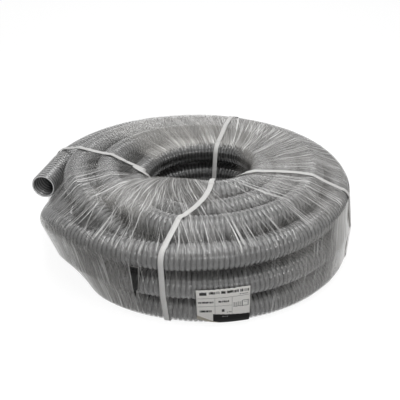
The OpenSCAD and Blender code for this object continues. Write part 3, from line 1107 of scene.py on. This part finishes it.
# Each strap's way over the top: distance from the axis in millimetres, azimuth in degrees
STRAP_ROUTES = {
    "front": ((100, 283), (124, 279.3), (174, 272), (196, 268.5), (223, 262.5), (266, 259.7), (298, 258.5)),
    "right": (
        (79, 311), (100, 313), (115, 323), (128, 331), (144, 335.5), (185, 339.6), (236, 339), (298, 343),
    ),
    "back": ((79, 70.5), (120, 70.3), (192, 72), (298, 73)),
    "left": (
        (79, 183.5), (104, 183.5), (116, 181.5), (135, 177), (183, 175), (215, 171), (242, 168.5),
        (289, 161.8),
    ),
}


def strap_azimuth(route, way):
    """Azimuth of a strap: on top its route gives one for each distance out.

    Below the bulge it goes straight down, and underneath straight on from the hole to the outside.
    """
    out_mm, az_deg = np.array(route, float).T
    az = np.full_like(way, np.radians(az_deg.mean()))
    for _ in range(SETTLE_STEPS):
        corner, facing, _ = on_belt(az, way)
        out = corner[..., 0] + FILM_R * np.cos(facing)
        top = np.interp(out * 1000, out_mm, az_deg)
        under = mixed(az_deg[0], az_deg[-1], np.clip((out - UNDER_OUT[0]) / np.ptp(UNDER_OUT), 0, 1))
        az = np.where(facing > np.pi, under, np.where(facing < 0, az_deg[-1], top))
        az = np.radians(az)
    return az


def smoothed(values, closed):
    """Running mean of five stations, three times over."""
    for _ in range(3):
        padded = np.pad(values, 2, mode="wrap" if closed else "edge")
        values = np.convolve(padded, np.ones(5) / 5, mode="valid")
    return values


def band_sections(under, lift, width, closed):
    """Eight points round each station: half the width to each side, with the edges rounded."""
    if closed:
        ahead, back = np.roll(under, -1, 0), np.roll(under, 1, 0)
    else:
        ahead = np.concatenate([under[1:], under[-1:]])
        back = np.concatenate([under[:1], under[:-1]])
    side = unit(np.cross(ahead - back, lift))
    half = width / 2
    bevel = half - STRAP_EDGE
    top, low, high = STRAP_T, STRAP_EDGE, STRAP_T - STRAP_EDGE
    across = np.stack([-bevel, bevel, half, half, bevel, -bevel, -half, -half], 1)
    rise = np.array([0.0, 0.0, low, high, top, top, high, low])
    points = under[:, None] + across[..., None] * side[:, None] + rise[None, :, None] * lift[:, None]
    return points, across


def band_mesh(route, way, rise, width, closed):
    """Points, and how far across and along the band each one is, for a band over the belt."""
    az = smoothed(strap_azimuth(route, way), closed)
    _, facing, length = on_belt(az, way)
    lift = outward(az, facing)
    points, across = band_sections(belt_place(az, way, FILM_R + rise), lift, width, closed)
    return points, np.stack([across, np.repeat(length[:, None], BAND_SIDES, 1), 0 * across], -1)


def strap_piece(side, route):
    """One strap round the bundle, closed on itself."""
    way = np.arange(STRAP_STATIONS) / STRAP_STATIONS
    points, strip = band_mesh(route, way, STRAP_GAP, STRAP_W + 0 * way, True)
    quads = grid_faces(STRAP_STATIONS, BAND_SIDES, closed_rows=True, closed_columns=True)
    piece = make_piece("strap_" + side + "_band", points, quads, STRAP)
    give(piece, "strip", strip.reshape(-1, 3))
    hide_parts("strap_" + side)


def strap_welds():
    """The lapped ends on the straps, each cut off at a slant."""
    points, strips, quads, caps = [], [], [], []
    share = np.linspace(0, 1, LAP_STATIONS)
    way = mixed(LAP_WAYS[0], LAP_WAYS[1], share)
    width = STRAP_W * (1 - 0.35 * eased((share - 0.9) / 0.1))
    for number, route in enumerate(STRAP_ROUTES.values()):
        section, strip = band_mesh(route, way, STRAP_GAP + STRAP_T + 0.0001, width, False)
        first = number * LAP_STATIONS * BAND_SIDES
        last = first + (LAP_STATIONS - 1) * BAND_SIDES
        quads.append(grid_faces(LAP_STATIONS, BAND_SIDES, closed_columns=True) + first)
        caps += [np.arange(BAND_SIDES)[::-1] + first, np.arange(BAND_SIDES) + last]
        points.append(section)
        strips.append(strip)
    piece = make_piece("strap_welds", np.concatenate(points), np.concatenate(quads), STRAP, caps)
    give(piece, "strip", np.concatenate(strips).reshape(-1, 3))
    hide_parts("strap_laps")


for strap_side, strap_route in STRAP_ROUTES.items():
    strap_piece(strap_side, strap_route)
strap_welds()

# ------------------------ the label

LABEL_COLUMNS, LABEL_ROWS = 49, 49
LABEL_LENGTHS = (0.0185, 0.1036)
LABEL_TILT_AZ = 0.5
PAPER_WAVE, PAPER_CURL = 0.0002, 0.0012


def way_at_length(az, length):
    """Share of the way at which the belt is as long as asked, for each azimuth's row of lengths."""
    ways = np.linspace(0, 0.5, 600)
    found = []
    for angle, wanted in zip(az, length):
        known = on_belt(np.full(ways.shape, angle), ways)[2]
        found.append(np.interp(wanted, known, ways))
    return np.array(found)


def label_piece():
    """The paper on the film: a grid over azimuth and belt length, with a loose corner and waves."""
    across = np.linspace(0, 1, LABEL_COLUMNS)[:, None]
    up = np.linspace(0, 1, LABEL_ROWS)[None, :]
    across, up = np.broadcast_arrays(across, up)
    length = mixed(LABEL_LENGTHS[0], LABEL_LENGTHS[1], up)
    middle_az = np.radians(LABEL_AZ + LABEL_TILT_AZ * (1 - 2 * up))
    az = middle_az + 0.0 * across
    for _ in range(3):
        way = way_at_length(az[:, 0], length)
        corner, facing, _ = on_belt(az, way)
        out = corner[..., 0] + FILM_R * np.cos(facing)
        az = middle_az + LABEL_W / 2 / out * (2 * across - 1)
    wave = PAPER_WAVE * np.sin(9 * across + 4 * up) * np.sin(np.pi * up)
    curl = PAPER_CURL * eased((across - 0.8) / 0.2) * eased((up - 0.75) / 0.25)
    low = FILM_R + STRAP_GAP + wave + curl
    points = np.stack([belt_place(az, way, low + LABEL_T), belt_place(az, way, low)])
    count = LABEL_COLUMNS * LABEL_ROWS
    quads = grid_faces(LABEL_COLUMNS, LABEL_ROWS)
    index = np.arange(count).reshape(LABEL_COLUMNS, LABEL_ROWS)
    rim = np.concatenate([index[0, :], index[1:, -1], index[-1, -2::-1], index[-2:0:-1, 0]])
    after = np.roll(rim, -1)
    walls = np.stack([rim, rim + count, after + count, after], 1)
    faces = np.concatenate([quads, quads[:, ::-1] + count, walls])
    piece = make_piece("label_sheet", points, faces, PAPER)
    sheet = np.stack([across, up, 0 * up], -1).reshape(-1, 3)
    give(piece, "sheet", np.concatenate([sheet, sheet]))
    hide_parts("label")


label_piece()

# ------------------------ floor, world and lamps

FLOOR_HALF = 6.0
FLOOR_WHITE, FLOOR_SHADED, FLOOR_GLOW = 0.55, 0.22, 0.925
WORLD_LIGHT = 0.07


def seen_plainly(tree):
    """1 for what the camera, a reflection or a clear surface sees, and 0 for the light itself."""
    rays = ("Is Camera Ray", "Is Glossy Ray", "Is Transmission Ray")
    return any_of([add(tree, "LightPath", output=ray) for ray in rays])


def floor_material():
    """White ground: plain pale to the light, nearly white of itself to the eye, with soft shadow."""
    material, tree = new_material("white_ground")
    tree.nodes.clear()
    plain = add(tree, "BsdfDiffuse", {"Color": grey(FLOOR_WHITE)})
    shaded = add(tree, "BsdfDiffuse", {"Color": grey(FLOOR_SHADED)})
    glow = add(tree, "Emission", {"Color": grey(1.0), "Strength": FLOOR_GLOW})
    seen = add(tree, "AddShader", {0: shaded, 1: glow})
    mix = add(tree, "MixShader", {0: seen_plainly(tree), 1: plain, 2: seen})
    feed(tree.nodes.new("ShaderNodeOutputMaterial").inputs[0], mix)
    return material


def floor_piece():
    """One large flat square at z = 0, which takes the bundle's shadow."""
    mesh = bpy.data.meshes.new("ground")
    h = FLOOR_HALF
    mesh.from_pydata([(-h, -h, 0), (h, -h, 0), (h, h, 0), (-h, h, 0)], [], [(0, 1, 2, 3)])
    mesh.materials.append(floor_material())
    ground = new_object("ground", mesh)


def set_world():
    """Plain world: white to the eye and in reflections, and a faint light from all sides."""
    world = bpy.data.worlds.new("studio")
    bpy.context.scene.world = world
    world.use_nodes = True
    tree = world.node_tree
    back = tree.nodes["Background"].inputs
    feed(back["Color"], grey(1.0))
    feed(back["Strength"], remap(seen_plainly(tree), 0.0, 1.0, WORLD_LIGHT, 1.0))


def lamp(name, place_at, aim, size, power):
    """A soft rectangular lamp turned towards a point."""
    data = bpy.data.lights.new(name, "AREA")
    data.shape = "RECTANGLE"
    data.size, data.size_y = size
    data.energy = power
    light = new_object(name, data)
    light.location = place_at
    toward = np.array(aim) - np.array(place_at)
    flat = math.hypot(toward[0], toward[1])
    light.rotation_euler = (math.atan2(flat, -toward[2]), 0.0, math.atan2(toward[0], -toward[1]) + math.pi)


floor_piece()
set_world()
lamp("overhead", (0.05, -0.45, 1.7), (0.05, -0.45, 0.1), (0.7, 1.5), 21.8)
lamp("front", (0.6, -2.1, 0.9), (0.0, 0.0, 0.1), (0.6, 0.4), 8.5)
lamp("behind", (0.0, 2.5, 1.3), (0.0, 0.0, 0.2), (2.6, 0.9), 9.0)

bpy.context.scene.view_settings.view_transform = "Standard"
